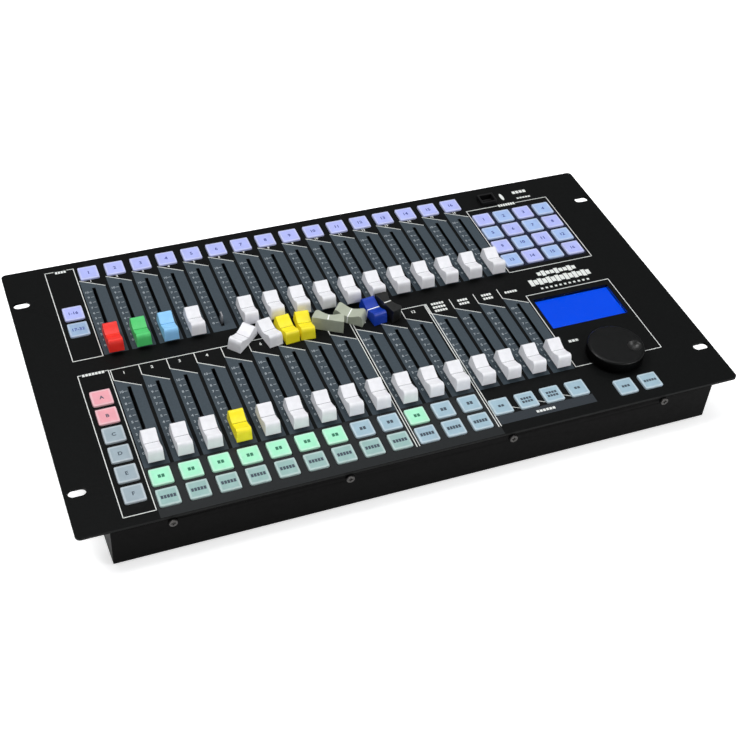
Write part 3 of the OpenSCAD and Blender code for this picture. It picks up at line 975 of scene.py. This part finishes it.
def add_wheel():
    """The jog wheel, turned from a profile, with a round finger dimple near its right edge."""
    low, high = node_box("jog_wheel")
    radius, top, base = (high.x - low.x) / 2, high.z, low.z
    face_r = radius - 2.4
    bore_r, shaft_r, ceiling = 12.0, 3.1, 3.0
    rim = [
        (face_r, top), (radius - 1.5, top - 0.08), (radius - 0.8, top - 0.35),
        (radius - 0.3, top - 0.9), (radius, top - 1.8), (radius, base + 1.0),
        (radius - 0.4, base + 0.3), (radius - 1.2, base), (bore_r + 0.2, base),
        (bore_r, base + 0.2), (bore_r, ceiling), (shaft_r, ceiling),
    ]
    rings_inside = 60
    profile = [(r * face_r / rings_inside, top) for r in range(1, rings_inside)] + rim
    turns = 160
    dimple = Matrix.Rotation(math.radians(-22), 2) @ Vector((13.4, 0))
    ball_r, ball_lift = 6.0, 3.0
    dimple_r = math.sqrt(ball_r ** 2 - ball_lift ** 2)
    dimple_floor = top - (ball_r - ball_lift)
    mesh = bmesh.new()

    def point(r, z, n):
        angle = 2 * math.pi * n / turns
        x, y = r * math.cos(angle), r * math.sin(angle)
        away = (Vector((x, y)) - dimple).length
        if z == top and away < dimple_r:
            z += ball_lift - math.sqrt(ball_r ** 2 - away ** 2)
        return mesh.verts.new((x, y, z))

    rings = [[point(r, z, n) for n in range(turns)] for r, z in profile]
    hub = mesh.verts.new((0, 0, top))
    for n in range(turns):
        m = (n + 1) % turns
        mesh.faces.new((hub, rings[0][n], rings[0][m]))
        for inner, outer in zip(rings, rings[1:]):
            mesh.faces.new((inner[n], outer[n], outer[m], inner[m]))
    mesh.faces.new(rings[-1])
    for face in mesh.faces:
        middle = face.calc_center_median()
        # The dimple's faces get the lighter copy: painted highlight.
        if (middle.xy - dimple).length < dimple_r and middle.z > dimple_floor - 0.1:
            face.material_index = 1
        # The side wall below the top's edge gets the painted shade.
        elif middle.z < top - 1.2:
            face.material_index = 2
    data = finished_data("jog_wheel", mesh, [WHEEL_BLACK, DIMPLE_HIGHLIGHT, WHEEL_SIDE_SHADE], 50)
    place = PANEL @ Matrix.Translation(panel_spot(low, high))
    add_piece("jog_wheel_turned", data, "wheel", ["jog_wheel"], place)


def add_display_face():
    """The lit face of the display, just under its window, in a thin black bezel."""
    low, high = node_box("display_module")
    window_low, window_high = node_box("display_window")
    x, y = (low.x + high.x) / 2, (low.y + high.y) / 2
    bezel = 2.6
    half_w = (window_high.x - window_low.x) / 2 - bezel
    half_d = (window_high.y - window_low.y) / 2 - bezel
    face = bmesh.new()
    block(face, (x - half_w, y - half_d, high.z), (x + half_w, y + half_d, high.z + 0.06))
    add_piece("display_face", finished_data("display_face", face, [DISPLAY_BLUE]), "desk")


# ---------- carried-over CAD nodes ----------

NODE_MATERIALS = {
    "top_panel": PANEL_BLACK,
    "panel_rails": STEEL,
    "case_tray": CASE_BLACK_SHADED,
    "case_screws": SCREW_BLACK,
    "rubber_feet": FOOT_RUBBER,
    "slider_housings": SLOT_SHADE_STEEL,
    "control_boards": BOARD_GREEN,
    "board_fixings": STEEL,
    "key_switches": SOCKET_BLACK,
    "display_window": WINDOW,
    "display_module": SOCKET_BLACK,
    "encoder_body": STEEL,
    "encoder_shaft": STEEL,
    "lamp_socket": SOCKET_BLACK,
    "rear_sockets": SOCKET_BLACK,
    "power_inlet": SOCKET_BLACK,
    "switch_frame": SOCKET_BLACK,
    "power_rocker": ROCKER_BLACK,
    "main_board": BOARD_GREEN,
    "ribbon_cables": RIBBON_GREY,
}

# the nodes whose edges are rounded, and by how many mm
SOFT_EDGES = {
    "top_panel": 0.3, "case_tray": 0.6, "rubber_feet": 0.5, "lamp_socket": 0.25, "rear_sockets": 0.3,
    "power_inlet": 0.3, "switch_frame": 0.3, "power_rocker": 0.4, "case_screws": 0.15,
}


def finish_cad_nodes():
    """Gives each carried-over node its material, and rounds the edges that catch the light."""
    for name, material in NODE_MATERIALS.items():
        piece = nodes[name]
        piece.data.materials.clear()
        piece.data.materials.append(material)
        piece.data.polygons.foreach_set("material_index", [0] * len(piece.data.polygons))
    for name, width in SOFT_EDGES.items():
        weld = nodes[name].modifiers.new("weld", "WELD")
        weld.merge_threshold = 1e-6
        bevel = nodes[name].modifiers.new("bevel", "BEVEL")
        bevel.width = width * MM
        bevel.segments = 2
        bevel.limit_method = "ANGLE"
        bevel.angle_limit = math.radians(50)
        bevel.harden_normals = True


# ---------- stage, light and camera ----------

# the camera in the panel frame: its place, its axes, and its lens, in mm
CAMERA_PLACE = Vector((-294.8, -664.1, 644.1))
CAMERA_FORWARD = Vector((0.3004, 0.6619, -0.6868))
CAMERA_RIGHT = Vector((0.9313, -0.3591, 0.0612))
CAMERA_LENS = 64.25


def add_camera():
    """A camera without shift, turned by its forward and right axes."""
    lens = bpy.data.cameras.new("camera")
    lens.sensor_width = 36
    lens.lens = CAMERA_LENS
    lens.clip_start, lens.clip_end = 0.05, 60
    camera = bpy.data.objects.new("camera", lens)
    scene.collection.objects.link(camera)
    turn = PANEL.to_3x3()
    forward = (turn @ CAMERA_FORWARD).normalized()
    right = (turn @ CAMERA_RIGHT).normalized()
    axes = Matrix((right, right.cross(forward), -forward)).transposed().to_4x4()
    camera.matrix_world = Matrix.Translation(PANEL @ (CAMERA_PLACE * MM)) @ axes
    scene.camera = camera


def add_floor():
    """A wide pale floor, lit a little from within, so that it stays white to the edges."""
    mesh = bmesh.new()
    bmesh.ops.create_grid(mesh, x_segments=1, y_segments=1, size=30)
    data = bpy.data.meshes.new("floor")
    mesh.to_mesh(data)
    mesh.free()
    floor = bpy.data.objects.new("floor", data)
    surface = Surface("floor", 0.9, specular=0.1)
    surface.mottle((0.93, 0.93, 0.93, 1), 400, 0.01)
    surface.set("Emission Color", (1, 1, 1, 1))
    surface.set("Emission Strength", 0.55)
    data.materials.append(surface.material)
    scene.collection.objects.link(floor)


def add_light(name, place, target, size, power):
    """A round soft light aimed at a target."""
    lamp = bpy.data.lights.new(name, "AREA")
    lamp.shape = "DISK"
    lamp.size = size
    lamp.energy = power
    holder = bpy.data.objects.new(name, lamp)
    scene.collection.objects.link(holder)
    holder.location = place
    holder.rotation_mode = "QUATERNION"
    holder.rotation_quaternion = (Vector(target) - Vector(place)).to_track_quat("-Z", "Y")


def add_lights():
    """A key light from the left, a fill from the front right, a wide one above, and a dim sky."""
    add_light("key_light", (-1.3, 0.3, 2.6), (0, 0, 0), 1.4, 46)
    add_light("fill_light", (1.5, -2.0, 1.5), (0, 0, 0), 1.6, 32)
    add_light("top_light", (0.6, 0.4, 3.0), (0, 0, 0), 2.4, 22)
    world = bpy.data.worlds.new("studio")
    world.use_nodes = True
    sky = world.node_tree.nodes["Background"].inputs
    sky["Color"].default_value = (0.95, 0.97, 1, 1)
    sky["Strength"].default_value = 0.22
    scene.world = world
    scene.view_settings.view_transform = "Standard"


add_camera()
add_floor()
add_lights()
finish_cad_nodes()
add_faders()
add_loose_caps()
add_keys()
add_panel_print()
add_wheel()
add_display_face()
